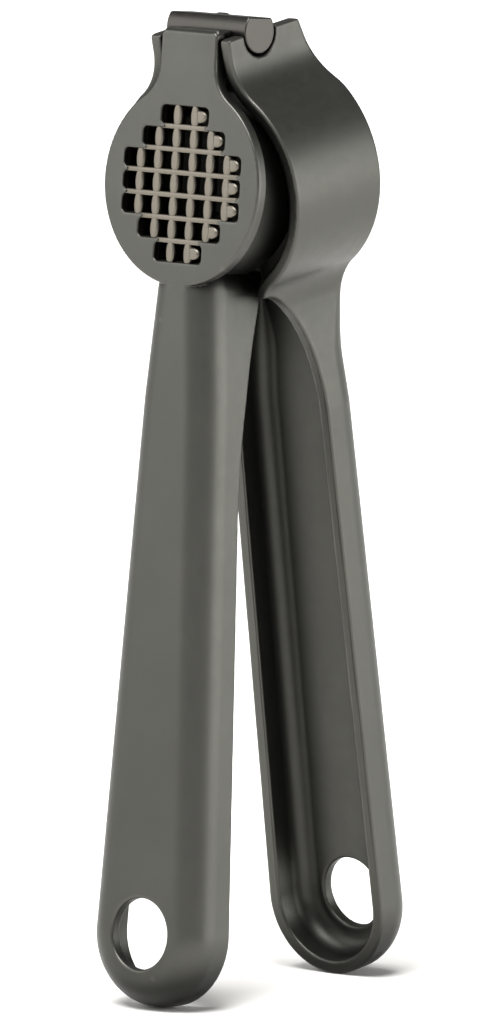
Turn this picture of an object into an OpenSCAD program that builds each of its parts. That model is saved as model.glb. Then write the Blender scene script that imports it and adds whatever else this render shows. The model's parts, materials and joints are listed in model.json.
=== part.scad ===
// Garlic press: two channel-shaped arms, a sieve cup on the front arm and a plunger on the rear arm.
// The arms turn about a hinge bar that lies along X across the top, and it stands on its handle tips.
// +Z is up, the sieve faces -Y, and the origin is on the floor under the middle of the whole.
// Each arm is drawn upright in its own frame: Z runs down from the hinge axis and Y runs to the back.

/* [Arms] */
// Hinge axis to the tip of the front handle
front_length = 177.8; // [150:0.1:215]
// Hinge axis to the tip of the rear handle
rear_length = 179.3; // [150:0.1:215]
// Angle between the arms as the press stands
open_angle = 13.1; // [9:0.1:24]
// Wall thickness of both castings
wall = 2.4; // [1.8:0.1:3]
// Width of the front handle at its hole
front_handle_w = 26.8; // [22:0.2:33]
// Width of the rear handle at its hole
rear_handle_w = 27.1; // [22:0.2:33]
// Depth of the handle channels from face to rim
handle_d = 9.8; // [8:0.1:12]
// Rounding of the long outer edges of the handles
edge_round = 6; // [4:0.25:7]
// Diameter of the hole at the end of each handle
hang_hole_d = 13; // [8:0.5:15]

/* [Head] */
// Hinge axis down to the top of the cup's wall
neck_length = 11.4; // [9.5:0.1:16]
// Thickness of the face plate
plate_t = 2.4; // [2.2:0.1:4.5]
// Hinge axis forward to the front of the face plate
face_offset = 8.5; // [8:0.1:10.5]
// Width of the neck above the face plate
neck_w = 13.2; // [10:0.2:15]
// Side gap between the neck and the rear arm's walls
neck_gap = 0.5; // [0.3:0.05:1]
// Inside diameter of the sieve cup
cup_d = 31; // [26:0.2:38]
// Wall thickness of the sieve cup
cup_wall = 1.4; // [0.8:0.1:2]
// How far the face plate stands out past the cup's wall
plate_lip = 1.6; // [0.3:0.1:2]
// Depth of the sieve cup from the front of the face plate
cup_depth = 13; // [10:0.5:15]
// Gap between the face plate and the skirt round it
skirt_gap = 0.8; // [0.6:0.1:3]
// Front rim to back face of the skirt
skirt_depth = 23.5; // [22:0.5:30]
// How far the skirt's rim stands back from the face plate's front
skirt_inset = 0.7; // [0.2:0.1:1.5]
// How far the hooks' front edges reach forward of the skirt's rim
hook_bow = 0.8; // [0.5:0.1:2.5]

/* [Sieve] */
// Width of one hole
hole_w = 2.7; // [1.5:0.1:3.3]
// Height of one row of holes
hole_h = 3.2; // [1.5:0.1:3.5]
// Least land between the holes and the cup's wall
sieve_land = 0.6; // [0.4:0.1:1.5]
// Depth of the opening in the face plate in front of the sieve insert
opening_depth = 1.2; // [0.8:0.1:1.6]
// How far the insert's ribs stand back from the face of the plate
rib_inset = 0.3; // [0.1:0.1:0.6]
// Thickness of the sieve insert's sheet
sieve_t = 0.8; // [0.5:0.1:1.2]

/* [Hinge] */
// Diameter of the hinge bar
bar_d = 8; // [6:0.2:9]
// Height of the flat on the bar above the hinge axis
bar_flat = 2.6; // [2:0.1:2.8]
// Gap between the bar and the hooks that it hangs in
hook_gap = 0.45; // [0.3:0.05:0.6]

/* [Plunger] */
// Clearance round the plunger in the cup
plunger_gap = 1.1; // [0.9:0.05:1.8]
// Thickness of the plunger's pad
pad_t = 3; // [2:0.1:4]
// Gap between the closed plunger and the sieve insert
nip_gap = 0.9; // [0.8:0.1:1.5]
// Diameter of the plunger's pin
pin_d = 3.2; // [2.6:0.1:4]
// Clearance of the pin in the plunger, on the radius
pin_clear = 0.06; // [0.03:0.01:0.1]
// Width of the plunger's stem
stem_w = 7; // [5:0.5:10]
// Thickness of each lug that holds the pin
lug_t = 2.6; // [2:0.1:4]
// Side gap between the stem and each lug
lug_gap = 0.4; // [0.3:0.05:0.8]

/* [Hidden] */
$fn = 96;
hull_fn = 32;
cut = 1;
casting_colour = [0.42, 0.42, 0.4];
bare_steel_colour = [0.72, 0.71, 0.68];

// Front arm, from its face at the front of the plate
face_y = -face_offset;
plate_back_y = face_y + plate_t;
cup_r = cup_d / 2;
cup_outer_r = cup_r + cup_wall;
plate_r = cup_outer_r + plate_lip;
head_drop = neck_length + cup_outer_r;
cup_back_y = face_y + cup_depth;
sieve_y = face_y + opening_depth;
rows = [3, 5, 7, 7, 7, 5, 3];
// Pitch of the holes, both ways, at which the corners of the second row's last holes leave the land
holes_r = cup_r - sieve_land;
pitch_b = 3 * hole_w + hole_h;
pitch_c = (hole_w * hole_w + hole_h * hole_h) / 4 - holes_r * holes_r;
hole_pitch = (sqrt(pitch_b * pitch_b - 40 * pitch_c) - pitch_b) / 20;
plate_top_z = -0.5;
neck_fillet_r = 8;

// Rear arm, from the back face that its skirt and its handle share
skirt_front_y = face_y + skirt_inset;
back_y = skirt_front_y + skirt_depth;
back_inner_y = back_y - wall;
skirt_inner_r = plate_r + skirt_gap;
skirt_outer_r = skirt_inner_r + wall;
neck_inner_w = neck_w / 2 + neck_gap;
neck_outer_w = neck_inner_w + wall;
throat_w = 8.1;
throat_clear = 0.8;
throat_outer_w = throat_w + wall;
skirt_top_z = 0.2;
finger_top_z = 1.3;
hook_bow_drop = 20;
skirt_fillet_r = 10;
throat_fillet_r = 8;
// The skirt's back corner slants off at the top, and its back wall stops below that
slant_depth = 4.6;
slant_drop = 12;
back_wall_top_z = -8;
arch_rise = 4.2;
arch_drop = 23;
rear_rim_y = back_y - handle_d;

// Handle tips are half circles round their holes
front_tip_r = front_handle_w / 2;
rear_tip_r = rear_handle_w / 2;
hang_hole_r = hang_hole_d / 2;
front_hole_z = -(front_length - front_tip_r);
rear_hole_z = -(rear_length - rear_tip_r);
shoulder_gap = 1;
shoulder_z = -(head_drop + plate_r + shoulder_gap);
shoulder_w = throat_w - throat_clear;
waist_drop = 20;
front_waist_inset = 4.4;
rear_waist_out = 1.6;
// The front rim flares back to the cup along an arc that starts this far below the shoulder
flare_drop = 41;
flare_r = 148;
flare_sweep = 17;
flare_reach = 10;
// Small clearances that keep touching pieces from sharing a volume
insert_clear = 0.05;
opening_clear = 0.15;
joint_lap = 0.5;
// Saddle of the bar, and how high the insert's ribs are beside the land between two rows
saddle_inset = 0.3;
saddle_wall = 0.6;
saddle_foot = 3;
rib_share = 0.9;

// Plunger
bar_r = bar_d / 2;
pad_r = cup_r - plunger_gap;
pad_front_y = sieve_y + sieve_t + nip_gap;
pad_back_y = pad_front_y + pad_t;
pin_r = pin_d / 2;
pin_wall = 2.4;
stem_length = 3;
boss_r = pin_r + pin_wall;
pin_y = pad_back_y + boss_r + stem_length;
lug_inner_x = stem_w / 2 + lug_gap;

// Tilts that set both handle tips on the floor with the arms open_angle apart
front_rim_y = face_y + handle_d;
lean_rise = front_length - rear_length * cos(open_angle) + rear_rim_y * sin(open_angle);
lean_run = rear_length * sin(open_angle) + rear_rim_y * cos(open_angle) - front_rim_y;
front_lean = atan2(lean_rise, lean_run);
rear_lean = open_angle - front_lean;
hinge_z = front_length * cos(front_lean) + front_rim_y * sin(front_lean);
front_reach = front_length * sin(front_lean) - face_y * cos(front_lean);
rear_reach = (-rear_hole_z) * sin(rear_lean) + back_y * cos(rear_lean) + rear_tip_r * sin(rear_lean);
hinge_y = (front_reach - rear_reach) / 2;

function turned(angle, radius) = radius * [cos(angle), sin(angle)];

// Points of an arc, without its first point when skip is 1
function arc(centre, radius, from, to, steps = 16, skip = 0) =
    [for (i = [skip:steps]) centre + turned(from + (to - from) * i / steps, radius)];

// The same points on the left, in the order that closes the outline, without those on the middle line
function mirrored(points) =
    [for (i = [len(points) - 1:-1:0]) if (points[i][0] > 0.01) [-points[i][0], points[i][1]]];

// Right side of a round head filleted into a neck above, down to the foot of the circle
function neck_side(radius, neck, top_z, neck_r, foot_angle = -90) =
    let (
        upper = [neck + neck_r, sqrt(pow(radius + neck_r, 2) - pow(neck + neck_r, 2)) - head_drop],
        upper_angle = atan2(upper[1] + head_drop, upper[0])
    )
    concat(
        [[neck, top_z]],
        arc(upper, neck_r, 180, 180 + upper_angle),
        arc([0, -head_drop], radius, upper_angle, foot_angle, 32, 1)
    );

// Where a throat's fillet is centred below a round head
function throat_centre(radius, throat, throat_r) =
    [throat + throat_r, -sqrt(pow(radius + throat_r, 2) - pow(throat + throat_r, 2)) - head_drop];

// Right side of a round head filleted into a neck above and a throat below
function head_side(radius, neck, top_z, neck_r, throat, end_z, throat_r) =
    let (
        lower = throat_centre(radius, throat, throat_r),
        lower_angle = atan2(-head_drop - lower[1], lower[0])
    )
    concat(
        neck_side(radius, neck, top_z, neck_r, -lower_angle),
        arc(lower, throat_r, 180 - lower_angle, 180, 16, 1),
        [[throat, end_z]]
    );

skirt_end_z = throat_centre(skirt_outer_r, throat_outer_w, throat_fillet_r)[1] - joint_lap;

// A flat outline in X and Z, made solid from one Y to another
module through_depth(from_y, to_y) {
    translate([0, to_y, 0]) rotate([90, 0, 0]) linear_extrude(to_y - from_y) children();
}

// A flat outline in Y and Z, made solid from one X to another
module through_width(from_x, to_x) {
    translate([from_x, 0, 0]) rotate([90, 0, 90]) linear_extrude(to_x - from_x) children();
}

// A round bar along X at a point of an arm
module cross_bar(radius, half_length, y = 0, z = 0) {
    translate([-half_length, y, z]) rotate([0, 90, 0]) cylinder(r = radius, h = 2 * half_length);
}

// A disc facing along Y
module disc(radius, from_y, to_y, z = -head_drop) {
    translate([0, to_y, z]) rotate([90, 0, 0]) cylinder(r = radius, h = to_y - from_y);
}

module place_front() {
    translate([0, hinge_y, hinge_z]) rotate([-front_lean, 0, 0]) children();
}

module place_rear() {
    translate([0, hinge_y, hinge_z]) rotate([rear_lean, 0, 0]) children();
}

// A round pad along +Y whose far edge is rounded, as the corner of a handle's hull
module rounded_pad(radius, from_y, to_y, rounding, z) {
    corner = [radius - rounding, to_y - rounding];
    profile = concat([[0, from_y], [radius, from_y]], arc(corner, rounding, 0, 90, 8), [[0, to_y]]);
    translate([0, 0, z]) rotate([-90, 0, 0]) rotate_extrude($fn = hull_fn) polygon(profile);
}

// Solid body of a handle whose face is toward +Y, widest round its hole
module handle_body(tip_r, hole_z, waist_r, waist_z, top_r, top_z, from_y, to_y, rounding) {
    hull() {
        rounded_pad(tip_r, from_y, to_y, rounding, hole_z);
        rounded_pad(waist_r, from_y, to_y, min(rounding, waist_r - 0.1), waist_z);
        rounded_pad(top_r, from_y, to_y, min(rounding, top_r - 0.1), top_z);
    }
}

// The channel of a handle: its body, hollowed to one wall, with the hook hole through its face
module handle_channel(tip_r, hole_z, waist_r, waist_z, top_r, top_z, open_y, to_y) {
    difference() {
        handle_body(tip_r, hole_z, waist_r, waist_z, top_r, top_z, open_y, to_y, edge_round);
        handle_body(
            tip_r - wall, hole_z, waist_r - wall, waist_z, top_r - wall, top_z,
            open_y - cut, to_y - wall, edge_round - wall
        );
        disc(hang_hole_r, open_y - cut, to_y + cut, hole_z);
    }
}

// Channel grip of the front arm, open to the back, deeper toward the cup
module front_handle() {
    flare_z = shoulder_z - flare_drop;
    far_y = cup_back_y + flare_reach;
    rim = concat(
        [[far_y, -head_drop], [far_y, -front_length - cut], [front_rim_y, -front_length - cut]],
        arc([front_rim_y + flare_r, flare_z], flare_r, 180, 180 - flare_sweep, 12)
    );
    color(casting_colour) place_front() difference() {
        mirror([0, 1, 0]) handle_channel(
            front_tip_r, front_hole_z, front_tip_r - front_waist_inset, shoulder_z - waist_drop,
            shoulder_w, shoulder_z, -far_y, -face_y
        );
        through_width(-front_handle_w, front_handle_w) polygon(rim);
        disc(plate_r, face_y - cut, plate_back_y);
        disc(cup_outer_r, face_y - cut, far_y + cut);
    }
}

function row_z(row) = ((len(rows) - 1) / 2 - row) * hole_pitch - head_drop;
function row_half(count) = ((count - 1) * hole_pitch + hole_w) / 2;

// Outline of all the rows and the ribs between them, a little larger by the allowance
module stepped_outline(allowance) {
    for (i = [0:len(rows) - 1]) {
        half = row_half(rows[i]) + allowance;
        translate([-half, row_z(i) - hole_h / 2 - allowance]) square([2 * half, hole_h + 2 * allowance]);
    }
    for (i = [0:len(rows) - 2]) rib_outline(i, allowance, hole_pitch - hole_h);
}

// Outline of the rib between a row and the next one down
module rib_outline(row, allowance, height) {
    half = row_half(min(rows[row], rows[row + 1])) + allowance;
    translate([-half, (row_z(row) + row_z(row + 1) - height) / 2]) square([2 * half, height]);
}

// Face plate with its neck, a stepped opening, and the seat of the sieve behind it
module front_face_plate() {
    side = neck_side(plate_r, neck_w / 2, plate_top_z, neck_fillet_r);
    color(casting_colour) place_front() difference() {
        through_depth(face_y, plate_back_y) polygon(concat(side, mirrored(side)));
        disc(cup_r, sieve_y, plate_back_y + cut);
        through_depth(face_y - cut, sieve_y + cut) stepped_outline(opening_clear);
    }
}

// Round wall of the cup behind the face plate
module front_cup_wall() {
    color(casting_colour) place_front() difference() {
        disc(cup_outer_r, plate_back_y, cup_back_y);
        disc(cup_r, plate_back_y - cut, cup_back_y + cut);
    }
}

// Saddle behind the neck that carries the hinge bar
module front_hinge_lug() {
    half = neck_w / 2 - saddle_inset;
    reach = bar_r + saddle_wall;
    foot = reach + saddle_foot;
    color(casting_colour) place_front() difference() {
        through_width(-half, half) translate([plate_back_y, -foot]) square([reach - plate_back_y, foot]);
        cross_bar(bar_r, half + cut);
    }
}

// Steel insert in the bottom of the cup: a punched sheet with a rib in front between each two rows
module sieve_insert() {
    color(bare_steel_colour) place_front() union() {
        difference() {
            disc(cup_r - insert_clear, sieve_y, sieve_y + sieve_t);
            through_depth(sieve_y - cut, sieve_y + sieve_t + cut) union() {
                for (i = [0:len(rows) - 1], k = [0:rows[i] - 1])
                    translate([(k - (rows[i] - 1) / 2) * hole_pitch, row_z(i)])
                        square([hole_w, hole_h], center = true);
            }
        }
        through_depth(face_y + rib_inset, sieve_y + sieve_t / 2) union() {
            for (i = [0:len(rows) - 2]) rib_outline(i, 0, (hole_pitch - hole_h) * rib_share);
        }
    }
}

// Hinge bar with a flat along its top, its ends flush with the rear arm's hooks
module hinge_bar() {
    color(bare_steel_colour) place_front() difference() {
        cross_bar(bar_r, neck_outer_w);
        translate([-bar_d * 2, -bar_d, bar_flat]) cube([bar_d * 4, bar_d * 2, bar_d]);
    }
}

// What is cut off in front of the rear arm's rim, from the arch down
module before_rear_rim() {
    top_z = skirt_end_z + arch_rise;
    span = rear_rim_y - skirt_front_y;
    far_y = skirt_front_y - skirt_depth;
    arch = [for (a = [0:6:90]) [skirt_front_y + span * sin(a), top_z - arch_drop * (1 - cos(a))]];
    rim = concat([[far_y, top_z]], arch, [[rear_rim_y, -rear_length - cut], [far_y, -rear_length - cut]]);
    through_width(-rear_handle_w, rear_handle_w) polygon(rim);
}

// Channel grip of the rear arm, open to the front under an arch
module rear_handle() {
    color(casting_colour) place_rear() difference() {
        handle_channel(
            rear_tip_r, rear_hole_z, throat_outer_w + rear_waist_out, skirt_end_z - waist_drop,
            throat_outer_w - insert_clear, skirt_end_z - joint_lap, skirt_front_y, back_y
        );
        before_rear_rim();
        translate([-rear_handle_w, skirt_front_y - cut, skirt_end_z])
            cube([2 * rear_handle_w, 2 * skirt_depth, 2 * skirt_depth]);
    }
}

// Skirt round the cup, closed at the back, with a hook for the bar at the top of each side
module rear_skirt() {
    outer = head_side(
        skirt_outer_r, neck_outer_w, skirt_top_z, skirt_fillet_r, throat_outer_w, skirt_end_z, throat_fillet_r
    );
    inner = head_side(
        skirt_inner_r, neck_inner_w, skirt_top_z + cut, skirt_fillet_r + wall, throat_w, skirt_end_z - cut,
        throat_fillet_r + wall
    );
    notch_r = bar_r + hook_gap;
    bow_r = (hook_bow_drop * hook_bow_drop + hook_bow * hook_bow) / (2 * hook_bow);
    bow_end = asin((hook_bow_drop + bar_d) / bow_r);
    far_y = skirt_front_y - skirt_depth;
    before = concat(
        [[far_y, skirt_end_z - cut], [skirt_front_y, skirt_end_z - cut]],
        arc([skirt_front_y - bow_r, -hook_bow_drop], bow_r, 0, bow_end), [[far_y, bar_d]]
    );
    slant = [
        [back_y - slant_depth, skirt_top_z + cut], [back_y - slant_depth, skirt_top_z], [back_y, -slant_drop],
        [back_y + cut, -slant_drop], [back_y + cut, skirt_top_z + cut]
    ];
    color(casting_colour) place_rear() difference() {
        through_depth(skirt_front_y - 2 * hook_bow, back_y) polygon(concat(outer, mirrored(outer)));
        through_width(-skirt_outer_r - cut, skirt_outer_r + cut) polygon(before);
        through_depth(skirt_front_y - 2 * hook_bow - cut, back_inner_y)
            polygon(concat(inner, mirrored(inner)));
        cross_bar(notch_r, skirt_outer_r);
        translate([-skirt_outer_r, -notch_r, 0]) cube([2 * skirt_outer_r, 2 * notch_r, 2 * notch_r]);
        translate([-skirt_outer_r, far_y, finger_top_z])
            cube([2 * skirt_outer_r, -far_y - notch_r + cut, bar_d]);
        through_width(-skirt_outer_r, skirt_outer_r) polygon(slant);
        before_rear_rim();
        translate([-neck_inner_w, back_inner_y - cut, back_wall_top_z])
            cube([2 * neck_inner_w, 2 * wall, bar_d * 2]);
    }
}

// One lug from the back wall to the plunger's pin
module plunger_lug(from_x) {
    color(casting_colour) place_rear() difference() {
        through_width(from_x, from_x + lug_t) union() {
            translate([pin_y, -head_drop]) circle(r = boss_r);
            translate([pin_y, -head_drop - boss_r]) square([back_inner_y - pin_y, 2 * boss_r]);
        }
        cross_bar(pin_r, skirt_outer_r, pin_y, -head_drop);
    }
}

module left_plunger_lug() {
    plunger_lug(-lug_inner_x - lug_t);
}

module right_plunger_lug() {
    plunger_lug(lug_inner_x);
}

// Pin across both lugs
module plunger_pin() {
    color(bare_steel_colour) place_rear() cross_bar(pin_r, lug_inner_x + lug_t, pin_y, -head_drop);
}

// Round pad that fills the cup, on a stem that rocks on the pin
module plunger() {
    color(casting_colour) place_rear() difference() {
        union() {
            disc(pad_r, pad_front_y, pad_back_y);
            through_width(-stem_w / 2, stem_w / 2) union() {
                translate([pin_y, -head_drop]) circle(r = boss_r);
                translate([pad_back_y - cut, -head_drop - boss_r])
                    square([pin_y - pad_back_y + cut, 2 * boss_r]);
            }
        }
        cross_bar(pin_r + pin_clear, stem_w, pin_y, -head_drop);
    }
}

front_handle();
front_face_plate();
front_cup_wall();
front_hinge_lug();
sieve_insert();
hinge_bar();
rear_handle();
rear_skirt();
left_plunger_lug();
right_plunger_lug();
plunger_pin();
plunger();
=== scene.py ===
"""Garlic press: two satin-coated zinc castings on a steel hinge bar, with a sieve, a plunger and its pin."""

import json
import math

import bmesh
import bpy
import numpy as np
from bpy.props import FloatProperty, FloatVectorProperty, IntVectorProperty, PointerProperty, StringProperty
from mathutils import Matrix, Vector


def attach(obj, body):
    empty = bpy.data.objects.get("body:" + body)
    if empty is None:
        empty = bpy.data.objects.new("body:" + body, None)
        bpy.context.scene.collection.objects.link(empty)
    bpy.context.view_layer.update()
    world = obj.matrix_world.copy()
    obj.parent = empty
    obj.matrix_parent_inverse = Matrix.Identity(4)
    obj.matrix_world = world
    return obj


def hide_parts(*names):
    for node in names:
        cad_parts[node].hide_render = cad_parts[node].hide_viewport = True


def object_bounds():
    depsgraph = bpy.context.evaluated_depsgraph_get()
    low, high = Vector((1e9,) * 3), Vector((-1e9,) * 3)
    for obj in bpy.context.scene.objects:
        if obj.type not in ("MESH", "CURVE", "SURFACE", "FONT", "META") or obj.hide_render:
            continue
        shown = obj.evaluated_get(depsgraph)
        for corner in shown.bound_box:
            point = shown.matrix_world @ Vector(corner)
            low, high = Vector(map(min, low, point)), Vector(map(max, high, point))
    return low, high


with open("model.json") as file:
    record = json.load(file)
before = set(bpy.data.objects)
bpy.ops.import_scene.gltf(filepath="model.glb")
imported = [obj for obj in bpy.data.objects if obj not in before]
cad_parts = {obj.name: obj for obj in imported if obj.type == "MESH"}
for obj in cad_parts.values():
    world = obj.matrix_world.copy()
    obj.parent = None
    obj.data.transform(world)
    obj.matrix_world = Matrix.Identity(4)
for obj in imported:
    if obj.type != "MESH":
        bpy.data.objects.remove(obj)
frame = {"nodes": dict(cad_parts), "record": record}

bl_info = {
    "name": "Garlic Press",
    "version": (1, 0, 0),
    "blender": (4, 5, 0),
    "location": "3D View > Sidebar > Press",
    "description": "Builds the castings, sieve, hinge bar, plunger and studio of a garlic press",
    "category": "Add Mesh",
}

MM = 0.001
CAD_BOX = [list(corner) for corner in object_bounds()]
RECORD = frame["record"]


class Arm:
    """An arm's own frame in mm: X across, Y to the back, Z up, from the hinge axis."""

    def __init__(self, hole_name, facing):
        mount = next(m for m in RECORD["mounts"] if m["name"] == hole_name)
        hinge = next(j for j in RECORD["behaviour"]["joints"] if j["name"] == "arm_hinge")
        axis = mount["axis"]
        lean = math.atan2(axis[2], facing * axis[1]) * facing
        self.matrix = Matrix.Translation(hinge["pos_m"]) @ Matrix.Rotation(lean, 4, "X")
        self.hole = self.to_arm([mount["pos_m"]])[0]
        self.hole_r = mount["dims"]["r_mm"]

    def to_row(self, points):
        """Points in mm in the arm's frame, placed in metres in the row's frame."""
        turn = np.array(self.matrix.to_3x3())
        return points * MM @ turn.T + np.array(self.matrix.translation)

    def to_arm(self, points):
        """Points in metres in the row's frame, measured in mm in the arm's frame."""
        turn = np.array(self.matrix.to_3x3())
        return (np.array(points) - np.array(self.matrix.translation)) @ turn / MM

    def turned(self, directions):
        """Directions in the arm's frame, turned into the row's frame."""
        return directions @ np.array(self.matrix.to_3x3()).T

    def box(self, node):
        """Lowest and highest corner of a CAD node, in mm in the arm's frame."""
        points = self.to_arm([v.co for v in frame["nodes"][node].data.vertices])
        return points.min(0), points.max(0)


FRONT = Arm("hang_hole_front", -1)
REAR = Arm("hang_hole_rear", 1)


# ---------------------------------------------------------------- sizes, colours and the studio


def size(name, text, default, high=0.2):
    """A length that a user can change, in metres."""
    return FloatProperty(
        name=name, description=text, default=default, min=0.0, max=high, unit="LENGTH", subtype="DISTANCE"
    )


def share(name, text, default):
    """A part of the whole, from 0 to 1."""
    return FloatProperty(name=name, description=text, default=default, min=0.0, max=1.0, subtype="FACTOR")


def angle(name, text, degrees):
    """An angle that is written in degrees."""
    radians = math.radians(degrees)
    return FloatProperty(name=name, description=text, default=radians, unit="ROTATION", subtype="ANGLE")


def move(name, text, default):
    """A distance in metres that may point either way."""
    return FloatProperty(name=name, description=text, default=default, unit="LENGTH", subtype="DISTANCE")


def strength(name, text, default):
    """The strength or power of a light."""
    return FloatProperty(name=name, description=text, default=default, min=0.0)


def colour(name, text, default):
    """An sRGB colour written as a hex value."""
    return StringProperty(name=name, description=text, default=default)


class CastingSizes(bpy.types.PropertyGroup):
    """Sizes that both castings share"""

    wall: size("Wall", "Thickness of the castings' walls", 0.0024)
    edge: size("Edge rounding", "Rounding of the grips' long outer edges", 0.006)
    rim_edge: size("Rim rounding", "Rounding of the rims and the hole's edges", 0.0005)
    skin_step: size("Skin step", "Spacing of the skin where the shape is fine", 0.0004)


class FrontArmSizes(bpy.types.PropertyGroup):
    """Sizes of the front casting"""

    waist_w: size("Waist width", "Width of the grip where it starts to flare", 0.018)
    waist_z: size("Waist drop", "Hinge axis down to the waist", 0.0679)
    top_w: size("Top width", "Width of the grip under the cup", 0.0146)
    top_z: size("Top drop", "Hinge axis down to the top of the grip", 0.0479)
    rim: size("Grip depth", "Depth of the grip's channel from face to rim", 0.0098)
    flare_z: size("Flare start", "Hinge axis down to where the rim flares back to the cup", 0.0889)
    flare_r: size("Flare radius", "Radius of the flare of the rim", 0.148)
    neck_w: size("Neck width", "Width of the neck above the face plate", 0.0132)
    neck_fillet: size("Neck fillet", "Radius between the neck and the round plate", 0.008)
    plate_edge: size("Plate edge", "Rounding of the face plate's edge", 0.00045)
    cup_bore: size("Cup bore", "Inside diameter of the cup", 0.031)


class RearArmSizes(bpy.types.PropertyGroup):
    """Sizes of the rear casting"""

    waist_w: size("Waist width", "Width of the grip under the arch", 0.0242)
    waist_z: size("Waist drop", "Hinge axis down to the waist", 0.072)
    throat_w: size("Throat width", "Width of the throat between skirt and grip", 0.021)
    throat_z: size("Throat drop", "Hinge axis down to the end of the skirt", 0.052)
    throat_fillet: size("Throat fillet", "Radius between the skirt and the throat", 0.008)
    neck_w: size("Neck width", "Width across the outsides of the two hooks", 0.019)
    neck_fillet: size("Neck fillet", "Radius between the hooks' sides and the round skirt", 0.01)
    arch: size("Arch height", "Height of the arch where the skirt's rim steps back to the grip's", 0.023)
    arch_lift: size("Arch lift", "How far above the end of the skirt the arch begins", 0.0042)
    rim: size("Grip depth", "Depth of the grip's channel from face to rim", 0.0098)
    notch: size("Notch width", "Width of the notch for the hinge bar in each hook", 0.0089)
    hook_top: size("Hook height", "Hinge axis up to the top of the hooks' front fingers", 0.0013)
    hook_bow: size("Hook bow", "How far the hooks' front edges reach forward of the skirt's rim", 0.0008)
    bow_drop: size("Bow drop", "Hinge axis down to where the front edges start to bow forward", 0.02)
    slant_depth: size("Slant depth", "How much the slanted top corner takes off the depth", 0.0046)
    slant_drop: size("Slant drop", "Hinge axis down to where the slant meets the back", 0.012)
    back_top: size("Back top", "Hinge axis down to the top of the back wall", 0.008)
    lug_t: size("Lug thickness", "Thickness of each lug for the plunger's pin", 0.0026)


class SieveSizes(bpy.types.PropertyGroup):
    """Sizes of the sieve's holes, ribs and bars"""

    rows: IntVectorProperty(
        name="Rows", description="Holes in each row", size=7, default=(3, 5, 7, 7, 7, 5, 3), min=1
    )
    hole_w: size("Hole width", "Width of one hole", 0.0027)
    hole_h: size("Hole height", "Height of one row of holes", 0.0032)
    rim_land: size("Rim land", "Least land between the holes and the cup's wall", 0.0006)
    bar_w: size("Bar width", "Width of a bar at its middle", 0.002)
    tongue: size("Tongue length", "How far the last bar of a row runs on to the right", 0.0021)
    tongue_start: size("Tongue start", "How far a tongue begins inside its bar", 0.0014)
    tongue_h: share("Tongue height", "Height of a tongue as a share of its row", 0.74)
    tongue_set: size("Tongue set", "Plate's face back to the middle of a tongue", 0.00076)
    bar_reach: size(
        "Bar reach", "How much taller a bar is than its row, so that its tips meet the ribs", 0.0017
    )
    bar_set: size("Bar set", "Plate's face back to the middle of the bars and ribs", 0.00072)
    bar_d: size("Bar depth", "Depth of the bars and tongues, before they are cut flat", 0.0015)
    crown: share("Crown", "How much of a bar's depth is kept in front of its middle", 0.6)
    rib_h: size("Rib height", "Height of a rib between two rows", 0.00095)
    rib_d: size("Rib depth", "Depth of a rib", 0.001)
    rib_taper: share("Rib taper", "How much a rib's ends are drawn in", 0.1)
    rib_reach: size("Rib reach", "How much longer a rib is than the shorter of its two rows", 0.0002)
    rib_edge: size("Rib edge", "Rounding of a rib's edges", 0.00016)
    opening: size("Opening depth", "Depth of the opening in the face plate", 0.0012)


class CoatFinish(bpy.types.PropertyGroup):
    """Finish of the castings and the steel pieces"""

    coat: colour("Coat", "Colour of the satin coating", "#4d4d49")
    coat_worn: colour("Worn coat", "Colour where the coating is polished on its edges", "#66645f")
    steel: colour("Steel", "Colour of the bare stainless steel", "#6f6a61")
    bar: colour("Bar", "Colour of the hinge bar", "#454340")
    roughness: share("Roughness", "Roughness of the coating", 0.42)
    metallic: share("Metallic", "How metallic the coating is", 0.92)
    # Painted shade: how dark the coating is painted deep inside the channels, near walls.
    cavity: share(
        "Cavity tone", "Tone of the coating deep inside the channels, where it isn't polished", 0.2
    )
    cavity_reach: size("Cavity reach", "How near a wall has to be to darken the coating", 0.014)
    grain: size("Grain", "Spacing of the blasted grain under the coating", 0.00022)


class StudioSettings(bpy.types.PropertyGroup):
    """Camera, floor and lights"""

    azimuth: angle("Azimuth", "Direction of the camera round the press", 40.83)
    elevation: angle("Elevation", "Height of the camera above the horizon", 7.85)
    roll: angle("Roll", "Turn of the camera about its own axis", -0.5)
    distance: size("Distance", "Camera to the middle of the press", 3.0924, 10.0)
    lens: FloatProperty(
        name="Lens", description="Focal length of the camera in mm", default=600.0, min=1.0, max=2000.0
    )
    aim: FloatVectorProperty(
        name="Aim",
        description="Point that the camera looks at",
        size=3,
        default=(0.0, 0.0, 0.09),
        unit="LENGTH",
        subtype="TRANSLATION",
    )
    shift_right: move("Aim right", "Aim moved to the right of that point", 0.00053)
    shift_up: move("Aim up", "Aim moved above that point", -0.00157)
    floor: colour("Floor", "Colour of the floor", "#f4f3f0")
    sky: strength("Room light", "Strength of the even light of the room", 0.2)
    top: strength("Top light", "Strength of the light from above", 5.8)
    key: strength("Front light", "Power of the soft box at the front left, in watts", 2.5)
    side: strength("Side light", "Power of the soft box at the right, in watts", 11.0)


# ---------------------------------------------------------------- solids as signed distances, in mm


def rounded_all(a, b, r):
    """Inside both, with the edge between them rounded."""
    return np.minimum(np.maximum(a, b), -r) + np.hypot(np.maximum(a + r, 0), np.maximum(b + r, 0))


def filleted_any(a, b, r):
    """Inside either, with a fillet between them."""
    return np.maximum(np.minimum(a, b), r) - np.hypot(np.maximum(r - a, 0), np.maximum(r - b, 0))


def rounded_box(a, b, half_a, half_b, r):
    """A rectangle with rounded corners."""
    qa, qb = np.abs(a) - half_a + r, np.abs(b) - half_b + r
    return np.hypot(np.maximum(qa, 0), np.maximum(qb, 0)) + np.minimum(np.maximum(qa, qb), 0) - r


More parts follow.
